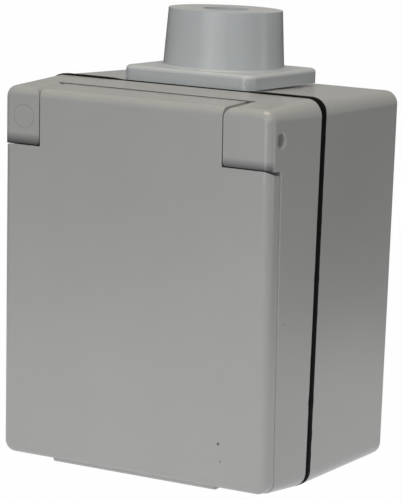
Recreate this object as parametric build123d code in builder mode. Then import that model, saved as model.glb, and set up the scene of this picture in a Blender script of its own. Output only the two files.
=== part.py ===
from build123d import *
import os
from math import cos, radians, sin, tan

# Surface-mounted wall socket with a spring-closed lid, in millimetres.
# The back lies on the wall at y = 0, the front faces -y and z is up.
# The origin is the middle of the back. A depth is a distance in front of the wall.

os.makedirs("parts", exist_ok=True)

# Outside of the two halves
width = 80.6
height = 98.5
corner_radius = 4.2
rear_depth = 42.1
seal_thickness = 2.5
front_reach = 21.0
front_tilt = 2.35
rear_draft = 1.1
front_draft = 3.6
back_edge_radius = 2.0
front_edge_radius = 2.2
rim_edge_radius = 0.4
seal_inset = 0.05

# Walls
rear_wall = 2.6
rear_floor = 3.0
front_wall = 2.5
plate_thickness = 2.5
plate_setback = 5.3

# Lid
lid_depth = 4.7
lid_skin = 2.2
lid_wall = 2.0
lid_inset = 0.2
parting_gap = 0.25
shoulder_wall = 1.6
lip_width = 48.0
lip_drop = 0.8
lip_length = 3.0
lip_chamfer = 0.4

# Hinge
left_ear_width = 10.9
right_ear_width = 13.7
ear_radius = 8.3
ear_foot_drop = 7.55
ear_foot_radius = 2.9
ear_foot_corner = 2.0
ear_top_corner = 2.6
ear_rim = 1.3
hinge_drop = 8.8
hinge_setback = 4.7
pin_radius = 1.5
pin_press = 0.02
pin_running = 0.05
pin_hole_radius = 1.75
pin_recess = 1.2
pin_blind = 8.0
hub_gap = 0.3
web_thickness = 2.6
knuckle_radius = 3.7
shoulder_radius = 8.6
hood_radius = 10.4
trough_radius = 10.65
trough_wall = 2.0
ear_mark_radius = 3.0
ear_mark_shift = 0.9
ear_mark_width = 0.2
ear_mark_depth = 0.1
pin_hole_chamfer = 0.35

# Lid spring
spring_wire = 0.6
spring_coil_radius = 1.97
spring_turns = 4
spring_pitch = 0.9
spring_start = -9.0
spring_relief = 2.85
leg_relief = 2.42

# Plug recess
socket_height = -5.0
recess_radius = 19.5
recess_depth = 17.5
cup_wall = 2.0
cup_floor = 2.2
cup_flange_radius = 23.3
cup_flange = 2.0
cup_clearance = 0.3
cup_seal_thickness = 1.0
collar_radius = 26.0
lid_seal_inner = 22.6
lid_seal_outer = 25.8
lid_seal_height = 3.0
lid_seal_gap = 0.35
groove_wall = 1.2
groove_height = 1.8

cup_inner_draft = 0.15
guide_height = 2.0
guide_width = 5.0
guide_setback = 3.0
cup_screw_head_height = 2.2
cup_screw_length = 14.0

# Contacts
pin_spacing = 19.0
contact_hole_radius = 2.7
funnel = 0.5
contact_bore = 2.45
contact_wall = 0.95
contact_length = 15.0
contact_slit = 0.8
contact_fit = 0.25
terminal_size = 8.6
terminal_depth = 7.0
terminal_bore = 1.5
clip_thickness = 0.45
clip_width = 4.0

# Contact carrier
carrier_radius = 21.9
carrier_disc = 4.2
carrier_width = 37.0
carrier_height = 21.0
carrier_depth = 22.6
carrier_ear_spacing = 55.0
carrier_ear_radius = 4.4
joint_clearance = 0.1

# Earth strip
strip_thickness = 0.8
strip_width = 6.0
strip_bend = 0.7
clip_reach = 1.6
clip_tip_drop = 9.8
clip_bulge_drop = 5.0
earth_tab_length = 13.0
earth_tab_width = 8.0
earth_screw_radius = 1.75
earth_collar = 1.6
earth_head = 2.2
clamp_thickness = 1.2
slot_width = 0.8
slot_cut = 1.0
wire_gap = 1.6

# Screws
housing_screw_inset = 7.0
housing_screw_drop = 22.3
housing_screw_rise = 7.5
housing_screw_radius = 1.75
housing_screw_head = 3.3
housing_screw_length = 24.0
sleeve_radius = 4.6
boss_radius = 4.8
washer_thickness = 0.8
housing_head_height = 2.4
insert_screw_radius = 1.5
insert_screw_length = 11.0
insert_screw_head = 2.0
head_chamfer = 0.4
cross_reach = 4.2
cross_width = 0.9
cross_cut = 1.4
cup_screw_radius = 1.5
cup_screw_head = 2.8
post_radius = 3.6

# Wall fixing
wall_hole_radius = 2.25
wall_hole_spacing_x = 50.0
wall_hole_spacing_z = 70.0
pad_radius = 5.5
pad_height = 1.2

# Cable entry
entry_setback = 18.0
entry_flange_width = 38.4
entry_flange_length = 36.2
entry_flange_overhang = 1.1
entry_flange_thickness = 3.8
entry_flange_radius = 3.0
nozzle_foot_radius = 15.75
nozzle_height = 14.9
nozzle_edge_radius = 1.5
nozzle_draft = 3.6
nozzle_flare = 0.7
flange_edge_radius = 1.0
inner_flange = 2.4
inner_flange_thickness = 2.0
nozzle_wall = 2.0
membrane_radius = 6.0
membrane_recess = 2.0
membrane_thickness = 0.8
slot_radius = 12.2
entry_gap = 0.15
entry_lift = 0.15

tilt = radians(front_tilt)
seal_front = rear_depth + seal_thickness
overall_depth = seal_front + front_reach
hinge_height = height / 2 - hinge_drop
hinge_depth = overall_depth + hinge_height * tan(tilt) - hinge_setback / cos(tilt)


def half_width_at(depth):
    """Half the drafted width of the front half at a depth."""
    return width / 2 - (depth - seal_front) * tan(radians(front_draft))


def half_height_at(depth):
    """Half the drafted height of the front half at a depth."""
    return height / 2 - (depth - seal_front) * tan(radians(front_draft))


left_ear_inner = -half_width_at(hinge_depth) + left_ear_width
right_ear_inner = half_width_at(hinge_depth) - right_ear_width
hinge_span = right_ear_inner - left_ear_inner
ear_sides = ((left_ear_inner, -1), (right_ear_inner, 1))


def depth_plane(depth):
    """Plane parallel to the wall; local y is up and it faces forward."""
    return Plane.XZ.offset(depth)


def side_plane(x):
    """Upright plane across the part; local x runs toward the wall and local y up."""
    return Plane.YZ.offset(x)


def tilted_plane(setback, at_height=0.0):
    """Plane parallel to the tilted front face, with its origin at a height."""
    y = setback / cos(tilt) - overall_depth - at_height * tan(tilt)
    return Plane(origin=(0, y, at_height), x_dir=(1, 0, 0), z_dir=(0, -cos(tilt), -sin(tilt)))


def front_block(inset, setback):
    """Drafted block of the front half, drawn in on its sides and cut off behind the front face."""
    with BuildPart() as block:
        with BuildSketch(depth_plane(seal_front)):
            RectangleRounded(width - 2 * inset, height - 2 * inset, corner_radius - 0.4 * inset)
        extrude(amount=front_reach + height * tan(tilt), taper=front_draft)
        split(bisect_by=tilted_plane(setback), keep=Keep.BOTTOM)
    return block.part


def rear_block(inset, floor):
    """Drafted block of the back box, drawn in on its sides, from the rim down to a floor."""
    with BuildPart() as block:
        with BuildSketch(depth_plane(rear_depth)):
            RectangleRounded(width - 2 * inset, height - 2 * inset, corner_radius - 0.4 * inset)
        extrude(amount=floor - rear_depth, taper=rear_draft)
    return block.part


parting_plane = tilted_plane(lid_depth)
plate_front = overall_depth - lid_depth - plate_setback
plate_back = plate_front - plate_thickness
shoulder_height = hinge_height - shoulder_radius
ear_base = hinge_height - ear_foot_drop
flange_front = plate_front + cup_seal_thickness + cup_flange
cup_floor_front = flange_front - recess_depth
cup_floor_back = cup_floor_front - cup_floor
cup_radius = recess_radius + cup_wall
carrier_front = cup_floor_back - joint_clearance
carrier_back = carrier_front - carrier_depth
carrier_disc_back = carrier_front - carrier_disc
contact_front = carrier_front - joint_clearance
contact_back = contact_front - contact_length
post_end = carrier_front - carrier_disc / 2
screw_places = [
    (side * (width / 2 - housing_screw_inset), place)
    for side in (-1, 1)
    for place in (height / 2 - housing_screw_drop, housing_screw_rise - height / 2)
]
strip_slot_top = plate_back - 0.4
pin_end = half_width_at(hinge_depth) - pin_recess
hood_left = left_ear_inner + hub_gap
hood_right = right_ear_inner - hub_gap
hood_span = hood_right - hood_left
hood_ceiling = half_height_at(hinge_depth) - lid_inset - lid_skin
spring_length = (spring_turns - spring_start / 360) * spring_pitch
spring_x = hood_left + web_thickness + 3

# Lower leg of the spring, which leans back into its anchor
leg_angle = radians(spring_start)
coil_plane = Plane(
    origin=(spring_x, -hinge_depth, hinge_height),
    x_dir=(0, -cos(leg_angle), sin(leg_angle)),
    z_dir=(1, 0, 0),
)
coil = coil_plane * Helix(spring_pitch, spring_length, spring_coil_radius, lefthand=True)
leg_start = coil @ 0
leg_direction = coil % 0
leg_plane = Plane(origin=leg_start, z_dir=leg_direction)
anchor_width = 3.2
anchor_rise = 3.6
anchor_height = hinge_height - trough_radius - 0.6 - anchor_rise / 2
leg_to_anchor = (leg_start.Z - anchor_height) / leg_direction.Z
anchor_x = leg_start.X - leg_to_anchor * leg_direction.X
anchor_leg_depth = -leg_start.Y + leg_to_anchor * leg_direction.Y
anchor_front = anchor_leg_depth + 1.3
upper_leg_length = hood_ceiling - hinge_height - 0.5
lower_leg_length = leg_to_anchor + anchor_rise / 4

# Depths and lengths that follow from the seats of the other pieces
entry_depth = rear_depth - entry_setback
entry_flange_centre = rear_depth + entry_flange_overhang - entry_flange_length / 2
slot_length = strip_slot_top - cup_floor_front
screw_boss_height = cup_screw_head_height + 0.4
terminal_screw_radius = terminal_size / 5
earth_screw_depth = carrier_front - strip_thickness - earth_tab_length + earth_tab_width / 2
flange_base = height / 2 + entry_lift
nozzle_foot_centre = (0, -entry_depth, flange_base + entry_flange_thickness)
nozzle_top = flange_base + entry_flange_thickness + nozzle_height
nozzle_roof = nozzle_top - membrane_recess - membrane_thickness
groove_floor = height / 2 - rear_wall - (rear_depth - rear_floor) * tan(radians(rear_draft)) - entry_gap
limb_height = cup_radius + strip_thickness / 2 + cup_clearance
clip_points = [
    (strip_slot_top - clip_tip_drop, recess_radius - strip_thickness / 2),
    (strip_slot_top - clip_bulge_drop, recess_radius - clip_reach),
    (strip_slot_top - strip_thickness, limb_height),
    (carrier_front - strip_thickness / 2, limb_height),
]

# Foot of the lid
lip_depth = overall_depth - height / 2 * tan(tilt) - lid_depth + parting_gap
lip_base = lid_inset - half_height_at(lip_depth + lip_length)

# Back box: a drafted tray with screw bosses, wall holes and a slot for the cable entry
with BuildPart() as rear_box:
    add(rear_block(0, 0))
    fillet(rear_box.faces().sort_by(Axis.Y)[-1].edges(), radius=back_edge_radius)
    add(rear_block(rear_wall, rear_floor), mode=Mode.SUBTRACT)
    with BuildSketch(depth_plane(rear_floor - 0.5)):
        with Locations(screw_places):
            Circle(boss_radius)
    extrude(amount=rear_depth - rear_floor + 0.5 - joint_clearance)
    with BuildSketch(depth_plane(rear_floor - 0.5)):
        with GridLocations(wall_hole_spacing_x, wall_hole_spacing_z, 2, 2):
            Circle(pad_radius)
    extrude(amount=pad_height + 0.5)
    with BuildSketch(depth_plane(rear_depth)):
        with Locations(screw_places):
            Circle(housing_screw_radius)
    extrude(amount=-housing_screw_length, mode=Mode.SUBTRACT)
    with BuildSketch(depth_plane(0)):
        with GridLocations(wall_hole_spacing_x, wall_hole_spacing_z, 2, 2):
            Circle(wall_hole_radius)
    extrude(amount=rear_floor + pad_height, mode=Mode.SUBTRACT)
    with BuildSketch(Plane.XY.offset(height / 2 - 3 * rear_wall)):
        with Locations((0, -entry_depth)):
            Circle(slot_radius)
        with Locations((0, -entry_depth)):
            Rectangle(2 * slot_radius, rear_depth, align=(Align.CENTER, Align.MAX))
    extrude(amount=4 * rear_wall, mode=Mode.SUBTRACT)
rear_box.part.label = "rear_box"
export_step(rear_box.part, "parts/rear_box.step")

# Gasket between the halves
with BuildPart() as housing_seal:
    with BuildSketch(depth_plane(rear_depth)):
        RectangleRounded(width - 2 * seal_inset, height - 2 * seal_inset, corner_radius - seal_inset)
        RectangleRounded(
            width - 2 * front_wall,
            height - 2 * front_wall,
            corner_radius - front_wall / 2,
            mode=Mode.SUBTRACT,
        )
    extrude(amount=seal_thickness)
housing_seal.part.label = "housing_seal"
export_step(housing_seal.part, "parts/housing_seal.step")

# Hollow behind the face plate, kept clear of the trough of the hinge
with BuildPart() as rear_hollow:
    add(front_block(front_wall, 0))
    split(bisect_by=depth_plane(plate_back), keep=Keep.BOTTOM)
    with BuildSketch(side_plane(left_ear_inner - trough_wall)):
        with Locations((-hinge_depth, hinge_height)):
            Circle(trough_radius + trough_wall)
    extrude(amount=hinge_span + 2 * trough_wall, mode=Mode.SUBTRACT)

# Space in front of the face plate, under the lid
with BuildPart() as lid_space:
    add(front_block(front_wall, 0))
    split(bisect_by=depth_plane(plate_front), keep=Keep.TOP)
    with BuildSketch(side_plane(-width)):
        with Locations((-plate_front, shoulder_height - ear_rim)):
            Rectangle(2 * front_reach, height, align=(Align.CENTER, Align.MIN))
    extrude(amount=width + left_ear_inner, mode=Mode.SUBTRACT)
    with BuildSketch(side_plane(right_ear_inner)):
        with Locations((-plate_front, shoulder_height - ear_rim)):
            Rectangle(2 * front_reach, height, align=(Align.CENTER, Align.MIN))
    extrude(amount=width, mode=Mode.SUBTRACT)
    with BuildSketch(side_plane(left_ear_inner)):
        with Locations((-plate_front, hinge_height)):
            Rectangle(2 * front_reach, height, align=(Align.CENTER, Align.MIN))
    extrude(amount=hinge_span, mode=Mode.SUBTRACT)

# Collar round the plug recess, its rim parallel to the lid
collar_setback = lid_skin + lid_seal_height + lid_seal_gap
with BuildPart() as collar:
    with BuildSketch(depth_plane(plate_back)):
        with Locations((0, socket_height)):
            Circle(collar_radius)
    extrude(amount=front_reach)
    split(bisect_by=tilted_plane(collar_setback), keep=Keep.BOTTOM)
    fillet(collar.faces().sort_by(Axis.Y)[0].edges(), radius=0.6)

# Rounding of the inner top corners of the ears, no further back than the trough
with BuildPart() as ear_corners:
    with BuildSketch(depth_plane(plate_back)):
        for ear_inner, way in ear_sides:
            with Locations((ear_inner, half_height_at(plate_back))):
                Rectangle(2 * ear_top_corner, 2 * ear_top_corner)
            with Locations((ear_inner + way * ear_top_corner, half_height_at(plate_back) - ear_top_corner)):
                Circle(ear_top_corner, mode=Mode.SUBTRACT)
    extrude(amount=front_reach, dir=(0, -1, -tan(radians(front_draft))))
    with BuildSketch(side_plane(-width)):
        with Locations((-hinge_depth, hinge_height)):
            Circle(trough_radius)
    extrude(amount=2 * width, mode=Mode.INTERSECT)

# Everything in front of the parting plane, apart from the round feet of the ears
with BuildPart() as lid_front:
    with BuildSketch(parting_plane):
        with Locations((0, hinge_height)):
            Rectangle(2 * width, height * 2, align=(Align.CENTER, Align.MAX))
    extrude(amount=2 * lid_depth)
    with BuildSketch(side_plane(-width)) as ear_outline:
        with Locations((-hinge_depth, hinge_height)):
            Circle(ear_radius)
        with Locations((-hinge_depth - hinge_setback * cos(tilt), hinge_height - hinge_setback * sin(tilt))):
            Rectangle(
                height,
                height,
                rotation=front_tilt,
                align=(Align.MIN, Align.CENTER),
                mode=Mode.INTERSECT,
            )
        with Locations((-hinge_depth, ear_base)):
            Rectangle(height, height, align=(Align.CENTER, Align.MIN), mode=Mode.INTERSECT)
        foot = ear_outline.vertices().sort_by(Axis.Y)[:2]
        fillet(foot.sort_by(Axis.X)[0], radius=ear_foot_radius)
    extrude(amount=2 * width, mode=Mode.SUBTRACT)

# Front housing: drafted frame with two hinge ears, a face plate and the trough between the ears
with BuildPart() as front_housing:
    add(front_block(0, 0))
    fillet(front_housing.faces().sort_by(Axis.Y)[0].edges(), radius=front_edge_radius)
    add(lid_front.part, mode=Mode.SUBTRACT)
    # rounded rim under the lid
    rim_faces = front_housing.faces().filter_by(lambda face: face.normal_at().Y < -0.99)
    rim_face = rim_faces.sort_by(Axis.Z)[0]
    fillet(
        rim_face.edges().filter_by(lambda edge: edge.center().Z < shoulder_height - lid_depth),
        radius=rim_edge_radius,
    )
    # rounded inner corners of the ears, seen from the front
    with BuildSketch(parting_plane):
        for ear_inner, way in ear_sides:
            with Locations((ear_inner, ear_base)):
                Rectangle(2 * ear_foot_corner, 2 * ear_foot_corner)
            with Locations((ear_inner + way * ear_foot_corner, ear_base + ear_foot_corner)):
                Circle(ear_foot_corner, mode=Mode.SUBTRACT)
    extrude(amount=lid_depth, mode=Mode.SUBTRACT)
    add(ear_corners.part, mode=Mode.SUBTRACT)
    with BuildSketch(side_plane(left_ear_inner)):
        with Locations((-hinge_depth, hinge_height)):
            Circle(trough_radius)
    extrude(amount=hinge_span, mode=Mode.SUBTRACT)
    add(rear_hollow.part, mode=Mode.SUBTRACT)
    add(lid_space.part, mode=Mode.SUBTRACT)
    add(collar.part)
    # round opening for the cup and the seat of its flange
    with BuildSketch(depth_plane(plate_back)):
        with Locations((0, socket_height)):
            Circle(cup_radius + cup_clearance)
    extrude(amount=front_reach, mode=Mode.SUBTRACT)
    with BuildSketch(depth_plane(plate_front)):
        with Locations((0, socket_height)):
            Circle(cup_flange_radius + cup_clearance)
    extrude(amount=front_reach, mode=Mode.SUBTRACT)
    # sleeves of the housing screws, counterbored for head and washer
    with BuildSketch(depth_plane(seal_front + joint_clearance)):
        with Locations(screw_places):
            Circle(sleeve_radius)
    extrude(amount=plate_back - seal_front)
    with BuildSketch(depth_plane(plate_front)):
        with Locations(screw_places):
            Circle(housing_screw_head + cup_clearance)
    extrude(amount=-washer_thickness, mode=Mode.SUBTRACT)
    with BuildSketch(depth_plane(plate_front)):
        with Locations(screw_places):
            Circle(housing_screw_radius + cup_clearance)
    extrude(amount=-front_reach, mode=Mode.SUBTRACT)
    # posts that carry the contact carrier
    with BuildSketch(depth_plane(post_end)):
        with Locations((0, socket_height)):
            with GridLocations(carrier_ear_spacing, 1, 2, 1):
                Circle(post_radius)
    extrude(amount=plate_back - post_end + 0.5)
    with BuildSketch(depth_plane(post_end)):
        with Locations((0, socket_height)):
            with GridLocations(carrier_ear_spacing, 1, 2, 1):
                Circle(insert_screw_radius)
    extrude(amount=plate_back - post_end - 1, mode=Mode.SUBTRACT)
    # anchor of the spring's lower leg
    with BuildSketch(depth_plane(plate_front - 0.5)):
        with Locations((anchor_x, anchor_height)):
            Rectangle(anchor_width, anchor_rise)
    extrude(amount=anchor_front - plate_front + 0.5)
    with BuildSketch(leg_plane):
        Circle(spring_wire / 2 + pin_running)
    extrude(amount=-(lower_leg_length + 0.2), mode=Mode.SUBTRACT)
    # bore of the hinge pin: blind on the left, open and recessed on the right
    with BuildSketch(side_plane(left_ear_inner - pin_blind)):
        with Locations((-hinge_depth, hinge_height)):
            Circle(pin_radius + pin_press)
    extrude(amount=width, mode=Mode.SUBTRACT)
    with BuildSketch(side_plane(pin_end)):
        with Locations((-hinge_depth, hinge_height)):
            Circle(pin_hole_radius)
    extrude(amount=width, mode=Mode.SUBTRACT)
    # chamfer of the pin hole and the round mark on the left ear
    with BuildSketch(side_plane(half_width_at(hinge_depth) - pin_hole_chamfer)):
        with Locations((-hinge_depth, hinge_height)):
            Circle(pin_hole_radius)
    extrude(amount=2 * pin_hole_chamfer, taper=-45, mode=Mode.SUBTRACT)
    with BuildSketch(tilted_plane(ear_mark_depth)):
        with Locations((left_ear_inner - left_ear_width / 2 + ear_mark_shift, hinge_height)):
            Circle(ear_mark_radius + ear_mark_width / 2)
            Circle(ear_mark_radius - ear_mark_width / 2, mode=Mode.SUBTRACT)
    extrude(amount=lid_depth, mode=Mode.SUBTRACT)
front_housing.part.label = "front_housing"
export_step(front_housing.part, "parts/front_housing.step")

# Lid outline in side view: in front of the parting plane, with a hood that turns in the trough
with BuildPart() as lid_room:
    with BuildSketch(tilted_plane(lid_depth - parting_gap)):
        Rectangle(2 * width, 2 * height)
    extrude(amount=2 * lid_depth)
    with BuildSketch(side_plane(hood_left)):
        with Locations((-hinge_depth, hinge_height)):
            Circle(hood_radius)
    extrude(amount=hood_span)

# Space under the lid, less the walls round the ears and the webs of the hinge
with BuildPart() as lid_hollow:
    add(front_block(lid_inset + lid_wall, lid_skin))
    with BuildSketch(side_plane(-width)):
        with Locations((-hinge_depth, hinge_height)):
            Circle(shoulder_radius + shoulder_wall)
        with Locations((-hinge_depth, hinge_height)):
            Rectangle(2 * (shoulder_radius + shoulder_wall), height, align=(Align.CENTER, Align.MIN))
    extrude(amount=width + hood_left, mode=Mode.SUBTRACT)
    with BuildSketch(side_plane(hood_right)):
        with Locations((-hinge_depth, hinge_height)):
            Circle(shoulder_radius + shoulder_wall)
        with Locations((-hinge_depth, hinge_height)):
            Rectangle(2 * (shoulder_radius + shoulder_wall), height, align=(Align.CENTER, Align.MIN))
    extrude(amount=width, mode=Mode.SUBTRACT)
    for web_start in (hood_left, hood_right - web_thickness):
        with BuildSketch(side_plane(web_start)):
            with Locations((-hinge_depth, hinge_height)):
                Circle(knuckle_radius)
            with Locations((-hinge_depth, hinge_height)):
                Rectangle(2 * trough_radius, height, align=(Align.CENTER, Align.MIN))
        extrude(amount=web_thickness, mode=Mode.SUBTRACT)
    with BuildSketch(Plane.XY.offset(hood_ceiling)):
        with Locations((hood_left + hood_span / 2, -hinge_depth)):
            Rectangle(hood_span, 4 * trough_radius)
    extrude(amount=height, mode=Mode.SUBTRACT)

# Lid: hollow flap with a hood over the hinge, notches at the ears and a lip for the finger
with BuildPart() as lid:
    add(front_block(lid_inset, 0))
    fillet(lid.faces().sort_by(Axis.Y)[0].edges(), radius=front_edge_radius)
    add(lid_room.part, mode=Mode.INTERSECT)
    for notch_start in (hood_left - width, hood_right):
        with BuildSketch(side_plane(notch_start)):
            with Locations((-hinge_depth, hinge_height)):
                Circle(shoulder_radius)
            with Locations((-hinge_depth, hinge_height)):
                Rectangle(2 * shoulder_radius, height, align=(Align.CENTER, Align.MIN))
        extrude(amount=width, mode=Mode.SUBTRACT)
    add(lid_hollow.part, mode=Mode.SUBTRACT)
    # groove of the seal: two rings on the inside of the skin
    with BuildSketch(tilted_plane(lid_skin - 0.3, socket_height)):
        Circle(lid_seal_outer + groove_wall)
        Circle(lid_seal_outer + entry_gap, mode=Mode.SUBTRACT)
        Circle(lid_seal_inner - entry_gap)
        Circle(lid_seal_inner - groove_wall, mode=Mode.SUBTRACT)
    extrude(amount=-(groove_height + 0.3))
    # relief for the spring and bores of the hinge
    with BuildSketch(side_plane(spring_x - 1)):
        with Locations((-hinge_depth, hinge_height)):
            Circle(spring_relief)
        with Locations((-hinge_depth, hinge_height)):
            Rectangle(2 * leg_relief, hood_ceiling - hinge_height, align=(Align.CENTER, Align.MIN))
    extrude(amount=spring_length + 2, mode=Mode.SUBTRACT)
    with BuildSketch(side_plane(hood_left)):
        with Locations((-hinge_depth, hinge_height)):
            Circle(pin_radius + pin_running)
    extrude(amount=hood_span, mode=Mode.SUBTRACT)
    # lip under the lower edge, chamfered at the back for the finger
    with BuildSketch(side_plane(-lip_width / 2)):
        with BuildLine():
            Polyline(
                (-lip_depth - lip_length, lip_base + lid_wall / 2),
                (-lip_depth - lip_length, lip_base - lip_drop + lip_chamfer),
                (-lip_depth - lip_length + lip_chamfer, lip_base - lip_drop),
                (-lip_depth - lip_chamfer, lip_base - lip_drop),
                (-lip_depth, lip_base - lip_drop + lip_chamfer),
                (-lip_depth, lip_base + lid_wall / 2),
                close=True,
            )
        make_face()
    extrude(amount=lip_width)
lid.part.label = "lid"
export_step(lid.part, "parts/lid.step")

# Ring gasket in the lid's groove
with BuildPart() as lid_seal:
    with BuildSketch(tilted_plane(lid_skin + 0.02, socket_height)):
        Circle(lid_seal_outer)
        Circle(lid_seal_inner, mode=Mode.SUBTRACT)
    extrude(amount=-(lid_seal_height - 0.02))
lid_seal.part.label = "lid_seal"
export_step(lid_seal.part, "parts/lid_seal.step")

# Hinge pin, driven in from the right until its end is below the surface
with BuildPart() as hinge_pin:
    with BuildSketch(side_plane(left_ear_inner - pin_blind + joint_clearance)):
        with Locations((-hinge_depth, hinge_height)):
            Circle(pin_radius)
    extrude(amount=pin_end - left_ear_inner + pin_blind - joint_clearance)
    chamfer(hinge_pin.edges(), length=0.3)
hinge_pin.part.label = "hinge_pin"
export_step(hinge_pin.part, "parts/hinge_pin.step")

# Torsion spring round the pin: lower leg in the anchor, upper leg against the inside of the lid
with BuildPart() as lid_spring:
    with BuildSketch(leg_plane):
        Circle(spring_wire / 2)
    sweep(path=coil, is_frenet=True)
    with BuildSketch(leg_plane):
        Circle(spring_wire / 2)
    extrude(amount=-lower_leg_length)
    with BuildSketch(Plane(origin=coil @ 1, z_dir=coil % 1)):
        Circle(spring_wire / 2)
    extrude(amount=upper_leg_length)
lid_spring.part.label = "lid_spring"
export_step(lid_spring.part, "parts/lid_spring.step")

# Cup: the round plug recess with a flange, pin holes, guide ribs and slots for the earth clips
with BuildPart() as socket_cup:
    with BuildSketch(Plane.YZ):
        with BuildLine():
            Polyline(
                (-flange_front, socket_height + recess_radius + 0.6),
                (-flange_front + 0.6, socket_height + recess_radius),
                (-cup_floor_front, socket_height + recess_radius - cup_inner_draft),
                (-cup_floor_front, socket_height),
                (-cup_floor_back, socket_height),
                (-cup_floor_back, socket_height + cup_radius),
                (-flange_front + cup_flange, socket_height + cup_radius),
                (-flange_front + cup_flange, socket_height + cup_flange_radius),
                (-flange_front, socket_height + cup_flange_radius),
                close=True,
            )
        make_face()
    revolve(axis=Axis((0, 0, socket_height), (0, 1, 0)))
    # guide ribs left and right
    with BuildSketch(depth_plane(cup_floor_front - 0.5)):
        with Locations((0, socket_height)):
            with GridLocations(2 * (recess_radius - cup_inner_draft), 1, 2, 1):
                Rectangle(2 * guide_height, guide_width)
    extrude(amount=recess_depth - guide_setback + 0.5)
    with BuildSketch(depth_plane(cup_floor_back)):
        with Locations((0, socket_height)):
            Circle(2 * recess_radius)
            Circle(cup_radius, mode=Mode.SUBTRACT)
    extrude(amount=flange_front - cup_flange - cup_floor_back, mode=Mode.SUBTRACT)
    # boss of the central screw
    with BuildSketch(depth_plane(cup_floor_front - 0.5)):
        with Locations((0, socket_height)):
            Circle(cup_screw_head + cup_clearance + 0.9)
    extrude(amount=screw_boss_height + 0.5)
    with BuildSketch(depth_plane(cup_floor_front)):
        with Locations((0, socket_height)):
            Circle(cup_screw_head + cup_clearance)
    extrude(amount=front_reach, mode=Mode.SUBTRACT)
    with BuildSketch(depth_plane(cup_floor_back)):
        with Locations((0, socket_height)):
            Circle(cup_screw_radius + joint_clearance)
            with GridLocations(pin_spacing, 1, 2, 1):
                Circle(contact_hole_radius)
    extrude(amount=cup_floor, mode=Mode.SUBTRACT)
    with BuildSketch(depth_plane(cup_floor_front)):
        with Locations((0, socket_height)):
            with GridLocations(pin_spacing, 1, 2, 1):
                Circle(contact_hole_radius + funnel)
    extrude(amount=-funnel, taper=45, mode=Mode.SUBTRACT)
    # slots of the earth clips at the top and the foot
    with BuildSketch(depth_plane(cup_floor_front)):
        with Locations((0, socket_height)):
            Rectangle(strip_width + 2 * cup_clearance, 4 * recess_radius)
            Circle(recess_radius - clip_reach - 1, mode=Mode.SUBTRACT)
    extrude(amount=slot_length, mode=Mode.SUBTRACT)
socket_cup.part.label = "socket_cup"
export_step(socket_cup.part, "parts/socket_cup.step")

# Ring under the flange of the cup
with BuildPart() as cup_seal:
    with BuildSketch(depth_plane(plate_front)):
        with Locations((0, socket_height)):
            Circle(cup_flange_radius)
            Circle(cup_radius + cup_clearance, mode=Mode.SUBTRACT)
    extrude(amount=cup_seal_thickness)
cup_seal.part.label = "cup_seal"
export_step(cup_seal.part, "parts/cup_seal.step")

# Central screw: cheese head with a slot
with BuildPart() as cup_screw:
    with BuildSketch(depth_plane(cup_floor_front)):
        with Locations((0, socket_height)):
            Circle(cup_screw_head)
    extrude(amount=cup_screw_head_height)
    fillet(cup_screw.faces().sort_by(Axis.Y)[0].edges(), radius=0.4)
    with BuildSketch(depth_plane(cup_floor_front - cup_screw_length)):
        with Locations((0, socket_height)):
            Circle(cup_screw_radius)
    extrude(amount=cup_screw_length)
    with BuildSketch(depth_plane(cup_floor_front + cup_screw_head_height)):
        with Locations((0, socket_height)):
            Rectangle(3 * cup_screw_head, slot_width)
    extrude(amount=-slot_cut, mode=Mode.SUBTRACT)
cup_screw.part.label = "cup_screw"
export_step(cup_screw.part, "parts/cup_screw.step")

# Contact carrier: disc with two ears, a block behind it and a chamber for each terminal
with BuildPart() as contact_carrier:
    with BuildSketch(depth_plane(carrier_disc_back)):
        with Locations((0, socket_height)):
            Circle(carrier_radius - 1.4)
    extrude(amount=carrier_disc)
    with BuildSketch(depth_plane(carrier_disc_back)):
        with Locations((0, socket_height)):
            SlotCenterToCenter(carrier_ear_spacing, 2 * carrier_ear_radius)
    extrude(amount=carrier_disc / 2)
    with BuildSketch(depth_plane(carrier_back)):
        with Locations((0, socket_height)):
            RectangleRounded(carrier_width, carrier_height, 2)
    extrude(amount=carrier_depth - carrier_disc)
    with BuildSketch(depth_plane(carrier_back)):
        with Locations((0, socket_height)):
            with GridLocations(pin_spacing, 1, 2, 1):
                Circle(contact_bore + contact_wall + clip_thickness + contact_fit)
    extrude(amount=carrier_depth, mode=Mode.SUBTRACT)
    with BuildSketch(depth_plane(carrier_back)):
        with Locations((0, socket_height - carrier_height / 2)):
            with GridLocations(pin_spacing, 1, 2, 1):
                Rectangle(
                    terminal_size + 2 * contact_fit,
                    (carrier_height + terminal_size) / 2 + contact_fit,
                    align=(Align.CENTER, Align.MIN),
                )
    extrude(amount=contact_back - carrier_back + contact_fit, mode=Mode.SUBTRACT)
    # channel of the earth strip across the front
    with BuildSketch(depth_plane(carrier_front)):
        with Locations((0, socket_height)):
            Rectangle(strip_width + 2 * contact_fit, 4 * carrier_radius)
    extrude(amount=-(strip_thickness + contact_fit), mode=Mode.SUBTRACT)
    with BuildSketch(depth_plane(carrier_front)):
        with Locations((0, socket_height)):
            Circle(cup_screw_radius)
    extrude(amount=-(cup_screw_length - 2), mode=Mode.SUBTRACT)
    with BuildSketch(depth_plane(carrier_disc_back)):
        with Locations((0, socket_height)):
            with GridLocations(carrier_ear_spacing, 1, 2, 1):
                Circle(insert_screw_radius + joint_clearance)
    extrude(amount=carrier_disc, mode=Mode.SUBTRACT)
contact_carrier.part.label = "contact_carrier"
export_step(contact_carrier.part, "parts/contact_carrier.step")

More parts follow.
